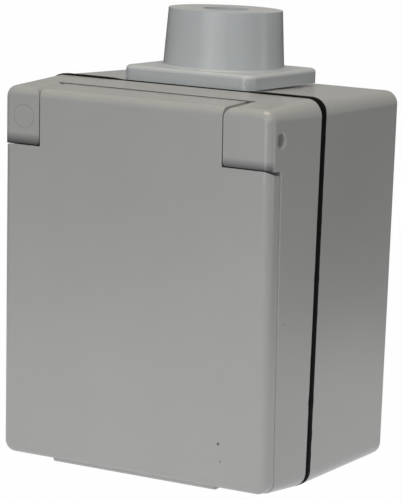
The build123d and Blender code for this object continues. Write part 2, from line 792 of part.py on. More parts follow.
# Contact sleeves: slit tubes with a terminal head, a wire hole from below and a screw hole behind
for side, hand in ((-1, "left"), (1, "right")):
    with BuildPart() as contact:
        with BuildSketch(depth_plane(contact_back)):
            with Locations((side * pin_spacing / 2, socket_height)):
                Circle(contact_bore + contact_wall)
        extrude(amount=contact_length)
        with BuildSketch(depth_plane(contact_back)):
            with Locations((side * pin_spacing / 2, socket_height)):
                RectangleRounded(terminal_size, terminal_size, 0.8)
        extrude(amount=-terminal_depth)
        with BuildSketch(depth_plane(contact_front)):
            with Locations((side * pin_spacing / 2, socket_height)):
                Circle(contact_bore)
        extrude(amount=-contact_length, mode=Mode.SUBTRACT)
        with BuildSketch(depth_plane(contact_back + 3)):
            with Locations((side * pin_spacing / 2, socket_height)):
                Rectangle(contact_slit, 2 * terminal_size)
        extrude(amount=contact_length, mode=Mode.SUBTRACT)
        with BuildSketch(Plane.XY.offset(socket_height - terminal_size)):
            with Locations((side * pin_spacing / 2, -(contact_back - terminal_depth / 2))):
                Circle(terminal_bore)
        extrude(amount=terminal_size, mode=Mode.SUBTRACT)
        with BuildSketch(depth_plane(contact_back - terminal_depth)):
            with Locations((side * pin_spacing / 2, socket_height)):
                Circle(terminal_screw_radius)
        extrude(amount=terminal_depth, mode=Mode.SUBTRACT)
    contact.part.label = "contact_" + hand
    export_step(contact.part, "parts/contact_" + hand + ".step")

    # Steel clip that closes the slit sleeve
    with BuildPart() as contact_spring:
        with BuildSketch(depth_plane(contact_front - 2 - clip_width)):
            with Locations((side * pin_spacing / 2, socket_height)):
                Circle(contact_bore + contact_wall + clip_thickness)
                Circle(contact_bore + contact_wall, mode=Mode.SUBTRACT)
            with Locations((side * (pin_spacing / 2 + contact_bore + contact_wall), socket_height)):
                Rectangle(4 * clip_thickness, 1.6, mode=Mode.SUBTRACT)
        extrude(amount=clip_width)
    contact_spring.part.label = "contact_spring_" + hand
    export_step(contact_spring.part, "parts/contact_spring_" + hand + ".step")

# Two wire screws, turned from behind
with BuildPart() as terminal_screws:
    with BuildSketch(depth_plane(contact_back - terminal_depth / 2 - 1)):
        with Locations((0, socket_height)):
            with GridLocations(pin_spacing, 1, 2, 1):
                Circle(terminal_screw_radius - pin_press)
    extrude(amount=-(terminal_depth / 2 + 0.6))
    with BuildSketch(depth_plane(contact_back - terminal_depth - 1.6)):
        with Locations((0, socket_height)):
            with GridLocations(pin_spacing, 1, 2, 1):
                Rectangle(3 * terminal_screw_radius, 0.7)
    extrude(amount=0.9, mode=Mode.SUBTRACT)
terminal_screws.part.label = "terminal_screws"
export_step(terminal_screws.part, "parts/terminal_screws.step")

# Earth strip: base in the carrier's channel, side clips bent into the recess, tab to the terminal
strip_base = carrier_front - strip_thickness / 2
with BuildPart() as earth_bracket:
    with BuildSketch(side_plane(-strip_width / 2)):
        with BuildLine():
            FilletPolyline(
                *[(-depth, socket_height + rise) for depth, rise in clip_points],
                *[(-depth, socket_height - rise) for depth, rise in reversed(clip_points)],
                radius=strip_bend,
            )
        trace(line_width=strip_thickness)
    extrude(amount=strip_width)
    with BuildSketch(side_plane(-earth_tab_width / 2)):
        with Locations((-strip_base - strip_thickness / 2, socket_height - limb_height)):
            Rectangle(earth_tab_length, strip_thickness, align=(Align.MIN, Align.CENTER))
    extrude(amount=earth_tab_width)
    with BuildSketch(Plane.XY.offset(socket_height - limb_height)):
        with Locations((0, -earth_screw_depth)):
            Circle(earth_screw_radius + 1.2)
    extrude(amount=strip_thickness / 2 + earth_collar)
    with BuildSketch(Plane.XY.offset(socket_height - 2 * limb_height)):
        with Locations((0, -earth_screw_depth)):
            Circle(earth_screw_radius)
    extrude(amount=1.5 * limb_height, mode=Mode.SUBTRACT)
    with BuildSketch(depth_plane(carrier_disc_back)):
        with Locations((0, socket_height)):
            Circle(cup_screw_radius + cup_clearance)
    extrude(amount=2 * carrier_disc, mode=Mode.SUBTRACT)
earth_bracket.part.label = "earth_bracket"
export_step(earth_bracket.part, "parts/earth_bracket.step")

# Square clamp under the head of the earth screw
clamp_top = socket_height - limb_height - strip_thickness / 2 - wire_gap
with BuildPart() as earth_clamp:
    with BuildSketch(Plane.XY.offset(clamp_top)):
        with Locations((0, -earth_screw_depth)):
            RectangleRounded(earth_tab_width, earth_tab_width, 0.8)
            Circle(earth_screw_radius + joint_clearance, mode=Mode.SUBTRACT)
    extrude(amount=-clamp_thickness)
earth_clamp.part.label = "earth_clamp"
export_step(earth_clamp.part, "parts/earth_clamp.step")

# Earth screw: cheese head with a slot, its shank up through the clamp and the strip's collar
head_top = clamp_top - clamp_thickness
with BuildPart() as earth_screw:
    with BuildSketch(Plane.XY.offset(head_top)):
        with Locations((0, -earth_screw_depth)):
            Circle(2 * earth_screw_radius)
    extrude(amount=-earth_head)
    chamfer(earth_screw.faces().sort_by(Axis.Z)[0].edges(), length=head_chamfer)
    with BuildSketch(Plane.XY.offset(head_top)):
        with Locations((0, -earth_screw_depth)):
            Circle(earth_screw_radius - pin_press)
    extrude(amount=clamp_thickness + wire_gap + strip_thickness + 2 * earth_collar)
    with BuildSketch(Plane.XY.offset(head_top - earth_head)):
        with Locations((0, -earth_screw_depth)):
            Rectangle(5 * earth_screw_radius, slot_width)
    extrude(amount=slot_cut, mode=Mode.SUBTRACT)
earth_screw.part.label = "earth_screw"
export_step(earth_screw.part, "parts/earth_screw.step")

# Two screws through the carrier's ears into the posts, heads to the rear
with BuildPart() as insert_screws:
    with BuildSketch(depth_plane(carrier_disc_back)):
        with Locations((0, socket_height)):
            with GridLocations(carrier_ear_spacing, 1, 2, 1):
                Circle(2 * insert_screw_radius - joint_clearance)
    extrude(amount=-insert_screw_head)
    chamfer(insert_screws.faces().sort_by(Axis.Y)[-2:].edges(), length=head_chamfer)
    with BuildSketch(depth_plane(carrier_disc_back)):
        with Locations((0, socket_height)):
            with GridLocations(carrier_ear_spacing, 1, 2, 1):
                Circle(insert_screw_radius - pin_press)
    extrude(amount=insert_screw_length)
    with BuildSketch(depth_plane(carrier_disc_back - insert_screw_head)):
        with Locations((0, socket_height)):
            with GridLocations(carrier_ear_spacing, 1, 2, 1):
                Rectangle(5 * insert_screw_radius, slot_width)
    extrude(amount=slot_cut, mode=Mode.SUBTRACT)
insert_screws.part.label = "insert_screws"
export_step(insert_screws.part, "parts/insert_screws.step")

# Sealing washers and the four screws that join the two halves
washer_base = plate_front - washer_thickness
with BuildPart() as housing_screw_seals:
    with BuildSketch(depth_plane(washer_base)):
        with Locations(screw_places):
            Circle(housing_screw_head)
        with Locations(screw_places):
            Circle(housing_screw_radius + joint_clearance, mode=Mode.SUBTRACT)
    extrude(amount=washer_thickness)
housing_screw_seals.part.label = "housing_screw_seals"
export_step(housing_screw_seals.part, "parts/housing_screw_seals.step")

with BuildPart() as housing_screws:
    with BuildSketch(depth_plane(plate_front)):
        with Locations(screw_places):
            Circle(housing_screw_head)
    extrude(amount=housing_head_height)
    chamfer(housing_screws.faces().sort_by(Axis.Y)[:4].edges(), length=head_chamfer)
    with BuildSketch(depth_plane(plate_front)):
        with Locations(screw_places):
            Circle(housing_screw_radius - pin_press)
    extrude(amount=-(plate_front - rear_depth + housing_screw_length - 1))
    with BuildSketch(depth_plane(plate_front + housing_head_height)):
        with Locations(screw_places):
            Rectangle(cross_reach, cross_width)
        with Locations(screw_places):
            Rectangle(cross_width, cross_reach)
    extrude(amount=-cross_cut, mode=Mode.SUBTRACT)
housing_screws.part.label = "housing_screws"
export_step(housing_screws.part, "parts/housing_screws.step")

# Cable entry: flange, tapered nozzle, groove for the slot's edge and a membrane to pierce
with BuildPart() as cable_entry:
    with BuildSketch(Plane.XY.offset(flange_base)):
        with Locations((0, -entry_flange_centre)):
            RectangleRounded(entry_flange_width, entry_flange_length, entry_flange_radius)
    extrude(amount=entry_flange_thickness)
    fillet(cable_entry.faces().sort_by(Axis.Z)[-1].edges(), radius=flange_edge_radius)
    # tapered nozzle with a flared foot and a rounded top, turned round its axis
    nozzle_top_radius = nozzle_foot_radius - nozzle_height * tan(radians(nozzle_draft))
    with BuildSketch(Plane(origin=nozzle_foot_centre, x_dir=(1, 0, 0), z_dir=(0, -1, 0))) as profile:
        with BuildLine():
            Polyline(
                (0, -nozzle_flare),
                (nozzle_foot_radius + nozzle_flare, -nozzle_flare),
                (nozzle_foot_radius + nozzle_flare, 0),
                (nozzle_foot_radius, 0),
                (nozzle_top_radius, nozzle_height),
                (0, nozzle_height),
                close=True,
            )
        make_face()
        corners = profile.vertices().group_by(Axis.Y)
        fillet(corners[1].sort_by(Axis.X)[0], radius=nozzle_flare * 0.8)
        fillet(corners[2].sort_by(Axis.X)[-1], radius=nozzle_edge_radius)
    revolve(axis=Axis(nozzle_foot_centre, (0, 0, 1)))
    # web in the slot and the inner flange
    with BuildSketch(Plane.XY.offset(groove_floor)):
        with Locations((0, -entry_depth)):
            Circle(slot_radius - entry_gap)
        with Locations((0, -entry_depth)):
            Rectangle(
                2 * (slot_radius - entry_gap),
                rear_depth - entry_depth,
                align=(Align.CENTER, Align.MAX),
            )
    extrude(amount=flange_base - groove_floor)
    with BuildSketch(Plane.XY.offset(groove_floor)):
        with Locations((0, -entry_depth)):
            Circle(slot_radius + inner_flange)
        with Locations((0, -entry_depth)):
            Rectangle(
                2 * (slot_radius + inner_flange),
                rear_depth - entry_depth,
                align=(Align.CENTER, Align.MAX),
            )
    extrude(amount=-inner_flange_thickness)
    # hollow nozzle, open to the box
    with BuildSketch(Plane.XY.offset(groove_floor - inner_flange_thickness)):
        with Locations((0, -entry_depth)):
            Circle(slot_radius - nozzle_wall)
    extrude(amount=nozzle_roof - groove_floor + inner_flange_thickness, mode=Mode.SUBTRACT)
    with BuildSketch(Plane.XY.offset(nozzle_top)):
        with Locations((0, -entry_depth)):
            Circle(membrane_radius)
    extrude(amount=-membrane_recess, mode=Mode.SUBTRACT)
cable_entry.part.label = "cable_entry"
export_step(cable_entry.part, "parts/cable_entry.step")
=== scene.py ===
from math import cos, pi, radians, sin, tan

import bmesh
import bpy
from mathutils import Matrix, Vector, noise


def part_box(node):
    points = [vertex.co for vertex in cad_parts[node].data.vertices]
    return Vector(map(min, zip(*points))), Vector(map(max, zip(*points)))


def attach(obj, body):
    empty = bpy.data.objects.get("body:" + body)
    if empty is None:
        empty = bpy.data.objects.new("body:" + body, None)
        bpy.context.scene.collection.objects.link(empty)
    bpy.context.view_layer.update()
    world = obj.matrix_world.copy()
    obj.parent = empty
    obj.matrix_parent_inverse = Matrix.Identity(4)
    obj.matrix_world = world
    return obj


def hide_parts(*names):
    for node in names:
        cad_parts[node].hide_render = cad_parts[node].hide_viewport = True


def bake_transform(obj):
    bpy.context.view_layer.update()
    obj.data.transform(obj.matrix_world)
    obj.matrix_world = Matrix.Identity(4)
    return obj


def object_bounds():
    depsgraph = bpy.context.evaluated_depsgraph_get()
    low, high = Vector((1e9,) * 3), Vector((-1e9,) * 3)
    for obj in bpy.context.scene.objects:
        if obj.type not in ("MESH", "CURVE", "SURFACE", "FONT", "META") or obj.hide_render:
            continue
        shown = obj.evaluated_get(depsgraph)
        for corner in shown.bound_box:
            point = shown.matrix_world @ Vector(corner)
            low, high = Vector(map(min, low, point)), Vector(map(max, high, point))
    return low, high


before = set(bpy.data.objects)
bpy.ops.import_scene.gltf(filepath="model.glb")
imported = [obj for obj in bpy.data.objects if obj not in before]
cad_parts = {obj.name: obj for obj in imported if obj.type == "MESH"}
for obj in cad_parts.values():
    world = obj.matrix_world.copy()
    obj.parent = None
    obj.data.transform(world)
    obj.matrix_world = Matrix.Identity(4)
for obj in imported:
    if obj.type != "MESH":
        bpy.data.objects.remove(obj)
solid_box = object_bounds()
MM = 0.001


# Finishes


def new_finish(name, roughness, metallic=0.0):
    """An empty finish: its material, node tree, shader and the place of each point."""
    material = bpy.data.materials.new(name)
    material.use_nodes = True
    tree = material.node_tree
    tree.nodes.clear()
    out = tree.nodes.new("ShaderNodeOutputMaterial")
    shader = tree.nodes.new("ShaderNodeBsdfPrincipled")
    shader.inputs["Roughness"].default_value = roughness
    shader.inputs["Metallic"].default_value = metallic
    tree.links.new(shader.outputs["BSDF"], out.inputs["Surface"])
    place = tree.nodes.new("ShaderNodeTexCoord").outputs["Object"]
    return material, tree, shader, place


def mottle(tree, place, size, seed, detail=3.0):
    """Blotches about size millimetres across, from 0 to 1."""
    pattern = tree.nodes.new("ShaderNodeTexNoise")
    pattern.noise_dimensions = "4D"
    pattern.inputs["W"].default_value = seed
    pattern.inputs["Scale"].default_value = 1 / (size * MM)
    pattern.inputs["Detail"].default_value = detail
    tree.links.new(place, pattern.inputs["Vector"])
    return pattern.outputs["Fac"]


def stretched(tree, place, factors):
    """The place with each axis scaled, for marks that run one way."""
    mapping = tree.nodes.new("ShaderNodeMapping")
    mapping.inputs["Scale"].default_value = factors
    tree.links.new(place, mapping.inputs["Vector"])
    return mapping.outputs["Vector"]


def between(tree, value, low, high, start=0.3, stop=0.7):
    """Turns a value from start to stop into one from low to high."""
    ramp = tree.nodes.new("ShaderNodeMapRange")
    ramp.inputs["From Min"].default_value = start
    ramp.inputs["From Max"].default_value = stop
    ramp.inputs["To Min"].default_value = low
    ramp.inputs["To Max"].default_value = high
    tree.links.new(value, ramp.inputs["Value"])
    return ramp.outputs["Result"]


def combined(tree, first, second, operation="ADD"):
    """Two values joined by a plain sum or product."""
    node = tree.nodes.new("ShaderNodeMath")
    node.operation = operation
    for socket, value in zip(node.inputs, (first, second)):
        if isinstance(value, (int, float)):
            socket.default_value = value
        else:
            tree.links.new(value, socket)
    return node.outputs["Value"]


def tinted(tree, share, first, second):
    """A colour that goes from the first to the second with a share; each is a colour or a socket."""
    mix = tree.nodes.new("ShaderNodeMix")
    mix.data_type = "RGBA"
    tree.links.new(share, mix.inputs["Factor"])
    for socket, colour in ((mix.inputs[6], first), (mix.inputs[7], second)):
        if isinstance(colour, tuple):
            socket.default_value = (*colour, 1.0)
        else:
            tree.links.new(colour, socket)
    return mix.outputs[2]


def relief(tree, shader, layers):
    """Raises the surface by layers of (value, height in millimetres), one on the other."""
    below = None
    for value, height in layers:
        bump = tree.nodes.new("ShaderNodeBump")
        bump.inputs["Distance"].default_value = height * MM
        tree.links.new(value, bump.inputs["Height"])
        if below is not None:
            tree.links.new(below, bump.inputs["Normal"])
        below = bump.outputs["Normal"]
    tree.links.new(below, shader.inputs["Normal"])


speck_core, speck_rim = 0.5, 1.2
speck_brown = (0.035, 0.033, 0.03)


def speck(tree, place, centre, radius):
    """One at a small mark on the surface and nought elsewhere; sizes in millimetres."""
    apart = tree.nodes.new("ShaderNodeVectorMath")
    apart.operation = "DISTANCE"
    tree.links.new(place, apart.inputs[0])
    apart.inputs[1].default_value = Vector(centre) * MM
    core, rim = radius * speck_core * MM, radius * speck_rim * MM
    return between(tree, apart.outputs["Value"], 1.0, 0.0, core, rim)


# Painted shade on the feet of the hinge ears: depth of the ear's front face and blur of the band's edges,
# in millimetres.
ear_face_near, ear_face_far = -66.2, -64.6
ear_edge_blur, ear_foot_blur = 0.1, 0.3


def painted_foot_shade(tree, place, side, edge, foot, top):
    """Mask of painted shade, one on the rounded foot of a hinge ear, where it turns down and inwards into
    shadow; sizes in millimetres.
    """
    axes = tree.nodes.new("ShaderNodeSeparateXYZ")
    tree.links.new(place, axes.inputs["Vector"])
    across = combined(tree, axes.outputs["X"], float(side), "MULTIPLY")
    beside = between(tree, across, 0.0, 1.0, (edge - ear_edge_blur) * MM, edge * MM)
    before = between(tree, axes.outputs["Y"], 1.0, 0.0, ear_face_near * MM, ear_face_far * MM)
    above = between(tree, axes.outputs["Z"], 0.0, 1.0, (foot - ear_foot_blur) * MM, foot * MM)
    below = between(tree, axes.outputs["Z"], 1.0, 0.0, foot * MM, top * MM)
    height = combined(tree, above, below, "MULTIPLY")
    return combined(tree, combined(tree, beside, before, "MULTIPLY"), height, "MULTIPLY")


cloud_size, blotch_size, dust_size = 34.0, 5.0, 0.55
polish_size, spark_size, sink_size = 9.0, 0.35, 22.0
polish_spread, sink_height = 0.02, 0.12


def moulded_plastic(name, pale, dark, roughness, grain_height, specks=(), seed=0.0, painted_foot_shades=()):
    """Moulded plastic: cloudy colour, flow marks, fine spark grain, small dirt specks and painted shade on
    the ear feet.
    """
    material, tree, shader, place = new_finish(name, roughness)
    clouds = mottle(tree, place, cloud_size, seed + 1.0)
    blotches = mottle(tree, place, blotch_size, seed + 2.0, 4.0)
    dust = mottle(tree, place, dust_size, seed + 3.0, 2.0)
    share = combined(tree, between(tree, clouds, 0.0, 0.5), between(tree, blotches, 0.0, 0.2, 0.2, 0.8))
    share = combined(tree, share, between(tree, dust, 0.0, 0.15, 0.2, 0.8))
    colour = tinted(tree, share, pale, dark)
    for centre, radius, strength in specks:
        spot = combined(tree, speck(tree, place, centre, radius), strength, "MULTIPLY")
        colour = tinted(tree, spot, colour, speck_brown)
    # Painted shade: a darker colour laid on the feet of the hinge ears, where the surface turns down into
    # shadow.
    for side, edge, foot, top, strength, painted_shade_colour in painted_foot_shades:
        painted_shade_share = combined(tree, painted_foot_shade(tree, place, side, edge, foot, top), strength, "MULTIPLY")
        colour = tinted(tree, painted_shade_share, colour, painted_shade_colour)
    tree.links.new(colour, shader.inputs["Base Color"])
    sheen = mottle(tree, place, polish_size, seed + 4.0)
    polish = between(tree, sheen, roughness - polish_spread, roughness + polish_spread, 0.1, 0.9)
    tree.links.new(polish, shader.inputs["Roughness"])
    spark = mottle(tree, place, spark_size, seed + 5.0, 2.0)
    sink = mottle(tree, place, sink_size, seed + 6.0, 1.0)
    relief(tree, shader, [(sink, sink_height), (spark, grain_height)])
    return material


bloom_size, bloom_gain, rubber_grain_size, rubber_grain_height = 3.0, 2.2, 0.3, 0.02


def rubber(name, colour, seed=0.0):
    """Moulded rubber: near black with a bloom and a fine matt grain."""
    material, tree, shader, place = new_finish(name, 0.7)
    shader.inputs["Specular IOR Level"].default_value = 0.05
    bloom = mottle(tree, place, bloom_size, seed + 1.0, 5.0)
    lighter = tuple(bloom_gain * part for part in colour)
    tone = tinted(tree, between(tree, bloom, 0.0, 0.6), colour, lighter)
    tree.links.new(tone, shader.inputs["Base Color"])
    tree.links.new(between(tree, bloom, 0.62, 0.8), shader.inputs["Roughness"])
    grain = mottle(tree, place, rubber_grain_size, seed + 2.0, 2.0)
    relief(tree, shader, [(grain, rubber_grain_height)])
    return material


mark_size, tarnish_size, mark_height, mark_stretch = 0.25, 2.5, 0.012, 0.06


def drawn_metal(name, pale, dark, roughness, along, seed=0.0):
    """Bare metal with drawing marks along one axis and a faint tarnish."""
    material, tree, shader, place = new_finish(name, roughness, 1.0)
    squeezed = tuple(mark_stretch if axis == along else 1.0 for axis in "XYZ")
    marks = mottle(tree, stretched(tree, place, squeezed), mark_size, seed + 1.0, 3.0)
    tarnish = mottle(tree, place, tarnish_size, seed + 2.0, 4.0)
    share = combined(tree, between(tree, marks, 0.0, 0.4), between(tree, tarnish, 0.0, 0.6))
    tree.links.new(tinted(tree, share, pale, dark), shader.inputs["Base Color"])
    tree.links.new(between(tree, tarnish, roughness - 0.06, roughness + 0.1), shader.inputs["Roughness"])
    relief(tree, shader, [(marks, mark_height)])
    return material


housing_specks = [
    ((25.76, -64.11, -36.37), 0.42, 0.85),
    ((26.43, -63.93, -40.8), 0.36, 0.4),
    ((39.47, -57.87, -5.46), 0.3, 0.35),
]
entry_specks = [
    ((17.36, -43.2, 51.18), 0.3, 0.55),
    ((17.96, -43.2, 50.72), 0.26, 0.5),
]
pale_grey, dark_grey = (0.37, 0.377, 0.369), (0.336, 0.343, 0.335)
housing_plastic = moulded_plastic("housing_plastic", pale_grey, dark_grey, 0.2, 0.012, housing_specks)
# Painted shade for the two hinge-ear feet: side, inner edge, bottom and top of the band, strength and shade
# colour.
ear_foot_painted_shades = [
    (1, 25.0, 32.9, 35.7, 1.0, (0.045, 0.048, 0.056)),
    (-1, 28.0, 32.9, 36.2, 1.0, (0.016, 0.017, 0.018)),
]
front_plastic = moulded_plastic(
    "front_plastic", pale_grey, dark_grey, 0.2, 0.012, housing_specks, painted_foot_shades=ear_foot_painted_shades
)
entry_plastic = moulded_plastic(
    "entry_plastic", (0.478, 0.508, 0.522), (0.436, 0.464, 0.478), 0.22, 0.008, entry_specks, 20.0
)
cup_plastic = moulded_plastic(
    "cup_plastic", (0.36, 0.362, 0.352), (0.33, 0.331, 0.322), 0.34, 0.006, seed=40.0
)
carrier_plastic = moulded_plastic(
    "carrier_plastic", (0.68, 0.63, 0.5), (0.6, 0.55, 0.43), 0.5, 0.01, seed=60.0
)
gasket_rubber = rubber("gasket_rubber", (0.003, 0.003, 0.003))
ring_rubber = rubber("ring_rubber", (0.012, 0.012, 0.012), 10.0)
zinc_steel = drawn_metal("zinc_steel", (0.66, 0.66, 0.64), (0.46, 0.46, 0.45), 0.32, "Y")
pin_steel = drawn_metal("pin_steel", (0.6, 0.6, 0.6), (0.42, 0.42, 0.42), 0.3, "X", 5.0)
strip_steel = drawn_metal("strip_steel", (0.7, 0.7, 0.68), (0.5, 0.5, 0.48), 0.28, "Z", 9.0)
turned_brass = drawn_metal("turned_brass", (0.78, 0.56, 0.24), (0.6, 0.4, 0.15), 0.26, "Y", 14.0)

finishes = {
    "rear_box": housing_plastic,
    "front_housing": front_plastic,
    "lid": housing_plastic,
    "cable_entry": entry_plastic,
    "housing_seal": gasket_rubber,
    "lid_seal": ring_rubber,
    "cup_seal": ring_rubber,
    "housing_screw_seals": ring_rubber,
    "socket_cup": cup_plastic,
    "contact_carrier": carrier_plastic,
    "contact_left": turned_brass,
    "contact_right": turned_brass,
    "hinge_pin": pin_steel,
    "lid_spring": pin_steel,
    "earth_bracket": strip_steel,
    "earth_clamp": strip_steel,
    "contact_spring_left": strip_steel,
    "contact_spring_right": strip_steel,
    "cup_screw": zinc_steel,
    "terminal_screws": zinc_steel,
    "earth_screw": zinc_steel,
    "insert_screws": zinc_steel,
    "housing_screws": zinc_steel,
}
for name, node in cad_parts.items():
    for slot in node.material_slots:
        slot.material = finishes[name]


# Pieces that follow a path or repeat, each made by a node tree and turned into a plain mesh


def new_tree(name, sizes):
    """A node tree for one modifier, with its sizes as named inputs and a geometry output."""
    tree = bpy.data.node_groups.new(name, "GeometryNodeTree")
    tree.is_modifier = True
    tree.interface.new_socket("Geometry", in_out="OUTPUT", socket_type="NodeSocketGeometry")
    tree.interface.new_socket("Geometry", in_out="INPUT", socket_type="NodeSocketGeometry")
    keys = {}
    for label, kind in sizes.items():
        keys[label] = tree.interface.new_socket(label, in_out="INPUT", socket_type=kind).identifier
    return tree, tree.nodes.new("NodeGroupInput"), tree.nodes.new("NodeGroupOutput"), keys


def close_tree(tree, geometry, out, material):
    """Ends a tree with smooth real meshes of one material."""
    real = tree.nodes.new("GeometryNodeRealizeInstances")
    smooth = tree.nodes.new("GeometryNodeSetShadeSmooth")
    finish = tree.nodes.new("GeometryNodeSetMaterial")
    finish.inputs["Material"].default_value = material
    tree.links.new(geometry, real.inputs["Geometry"])
    tree.links.new(real.outputs["Geometry"], smooth.inputs["Geometry"])
    tree.links.new(smooth.outputs["Geometry"], finish.inputs["Geometry"])
    tree.links.new(finish.outputs["Geometry"], out.inputs["Geometry"])


def grown(name, points, edges, tree, keys, sizes, material):
    """A plain mesh that a tree makes from points in millimetres and the edges between them."""
    seed_mesh = bpy.data.meshes.new(name + "_path")
    seed_mesh.from_pydata([Vector(point) * MM for point in points], edges, [])
    piece = bpy.data.objects.new(name, seed_mesh)
    bpy.context.collection.objects.link(piece)
    modifier = piece.modifiers.new("shape", "NODES")
    modifier.node_group = tree
    for label, value in sizes.items():
        modifier[keys[label]] = value
    bpy.context.view_layer.update()
    result = bpy.data.meshes.new_from_object(piece.evaluated_get(bpy.context.evaluated_depsgraph_get()))
    piece.modifiers.clear()
    piece.data = result
    bpy.data.meshes.remove(seed_mesh)
    if not result.materials:
        result.materials.append(material)
    return piece


def wire_tree(name, material):
    """Round wire, or a bead, along a path."""
    tree, given, out, keys = new_tree(name, {"Wire Radius": "NodeSocketFloat", "Sides": "NodeSocketInt"})
    path = tree.nodes.new("GeometryNodeMeshToCurve")
    ring = tree.nodes.new("GeometryNodeCurvePrimitiveCircle")
    body = tree.nodes.new("GeometryNodeCurveToMesh")
    body.inputs["Fill Caps"].default_value = True
    tree.links.new(given.outputs["Geometry"], path.inputs["Mesh"])
    tree.links.new(given.outputs["Wire Radius"], ring.inputs["Radius"])
    tree.links.new(given.outputs["Sides"], ring.inputs["Resolution"])
    tree.links.new(path.outputs["Curve"], body.inputs["Curve"])
    tree.links.new(ring.outputs["Curve"], body.inputs["Profile Curve"])
    close_tree(tree, body.outputs["Mesh"], out, material)
    return tree, keys


def chain(count, closed=False):
    """The edges of a path through count points."""
    return [(i, i + 1) for i in range(count - 1)] + ([(count - 1, 0)] if closed else [])


# Torsion spring round the hinge pin: lower leg in its anchor, upper leg against the lid
pin_low, pin_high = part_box("hinge_pin")
hinge_y = (pin_low.y + pin_high.y) / 2 / MM
hinge_z = (pin_low.z + pin_high.z) / 2 / MM
coil_radius, coil_pitch, coil_turns, wire_radius = 1.97, 0.9, 4.025, 0.3
coil_start = -22.3703
coil_steps = 112
lower_leg, upper_leg = 13.8, 4.77
lean = radians(-9.0)
across_axis = Vector((0.0, -cos(lean), sin(lean)))
up_axis = Vector((0.0, sin(lean), cos(lean)))


def coil_point(angle):
    """Place on the coil's centre line."""
    centre = Vector((coil_start + coil_pitch * angle / (2 * pi), hinge_y, hinge_z))
    return centre + coil_radius * (cos(angle) * across_axis + sin(angle) * up_axis)


def coil_heading(angle):
    """Direction of the coil's centre line."""
    turn = coil_radius * (cos(angle) * up_axis - sin(angle) * across_axis)
    return (turn + Vector((coil_pitch / (2 * pi), 0.0, 0.0))).normalized()


coil_end = 2 * pi * coil_turns
spring_path = [coil_point(0.0) - coil_heading(0.0) * lower_leg]
spring_path += [coil_point(coil_end * step / coil_steps) for step in range(coil_steps + 1)]
spring_path.append(coil_point(coil_end) + coil_heading(coil_end) * upper_leg)
spring_tree, spring_keys = wire_tree("spring_wire", pin_steel)
spring = grown(
    "lid_spring_wire",
    spring_path,
    chain(len(spring_path)),
    spring_tree,
    spring_keys,
    {"Wire Radius": wire_radius * MM, "Sides": 10},
    pin_steel,
)
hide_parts("lid_spring")
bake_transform(spring)


def ring_tree(name, material):
    """Concentric raised rings round each point."""
    sizes = {"Rings": "NodeSocketInt", "Spacing": "NodeSocketFloat", "Wire Radius": "NodeSocketFloat"}
    tree, given, out, keys = new_tree(name, sizes)
    row = tree.nodes.new("GeometryNodeMeshLine")
    row.inputs["Offset"].default_value = (0.0, 0.0, 0.0)
    circle = tree.nodes.new("GeometryNodeCurvePrimitiveCircle")
    circle.inputs["Resolution"].default_value = 56
    order = tree.nodes.new("GeometryNodeInputIndex")
    size = combined(tree, order.outputs["Index"], 1.0)
    spread = tree.nodes.new("GeometryNodeInstanceOnPoints")
    loose = tree.nodes.new("GeometryNodeRealizeInstances")
    profile = tree.nodes.new("GeometryNodeCurvePrimitiveCircle")
    profile.inputs["Resolution"].default_value = 8
    body = tree.nodes.new("GeometryNodeCurveToMesh")
    place = tree.nodes.new("GeometryNodeInstanceOnPoints")
    tree.links.new(given.outputs["Rings"], row.inputs["Count"])
    tree.links.new(given.outputs["Spacing"], circle.inputs["Radius"])
    tree.links.new(row.outputs["Mesh"], spread.inputs["Points"])
    tree.links.new(circle.outputs["Curve"], spread.inputs["Instance"])
    tree.links.new(size, spread.inputs["Scale"])
    tree.links.new(spread.outputs["Instances"], loose.inputs["Geometry"])
    tree.links.new(loose.outputs["Geometry"], body.inputs["Curve"])
    tree.links.new(given.outputs["Wire Radius"], profile.inputs["Radius"])
    tree.links.new(profile.outputs["Curve"], body.inputs["Profile Curve"])
    tree.links.new(given.outputs["Geometry"], place.inputs["Points"])
    tree.links.new(body.outputs["Mesh"], place.inputs["Instance"])
    close_tree(tree, place.outputs["Instances"], out, material)
    return tree, keys


mark_taper = 0.93


def mark_tree(name, material):
    """A low disc with a bevelled rim at each point, turned to lie on the wall behind it."""
    sizes = {"Mark Radius": "NodeSocketFloat", "Mark Height": "NodeSocketFloat", "Turn": "NodeSocketFloat"}
    tree, given, out, keys = new_tree(name, sizes)
    disc = tree.nodes.new("GeometryNodeMeshCone")
    disc.inputs["Vertices"].default_value = 40
    turn = tree.nodes.new("ShaderNodeCombineXYZ")
    place = tree.nodes.new("GeometryNodeInstanceOnPoints")
    tree.links.new(given.outputs["Mark Radius"], disc.inputs["Radius Bottom"])
    top = combined(tree, given.outputs["Mark Radius"], mark_taper, "MULTIPLY")
    tree.links.new(top, disc.inputs["Radius Top"])
    tree.links.new(given.outputs["Mark Height"], disc.inputs["Depth"])
    tree.links.new(given.outputs["Turn"], turn.inputs["X"])
    tree.links.new(given.outputs["Geometry"], place.inputs["Points"])
    tree.links.new(disc.outputs["Mesh"], place.inputs["Instance"])
    tree.links.new(turn.outputs["Vector"], place.inputs["Rotation"])
    close_tree(tree, place.outputs["Instances"], out, material)
    return tree, keys


# Rings on the membrane that the cable is pushed through
entry_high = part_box("cable_entry")[1]
nozzle_y = -24.1
membrane_depth = 2.0
membrane_z = entry_high.z / MM - membrane_depth
rings_tree, rings_keys = ring_tree("membrane_ring", entry_plastic)
membrane_rings = grown(
    "membrane_rings",
    [(0.0, nozzle_y, membrane_z)],
    [],
    rings_tree,
    rings_keys,
    {"Rings": 3, "Spacing": 1.6 * MM, "Wire Radius": 0.16 * MM},
    entry_plastic,
)
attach(membrane_rings, "housing")

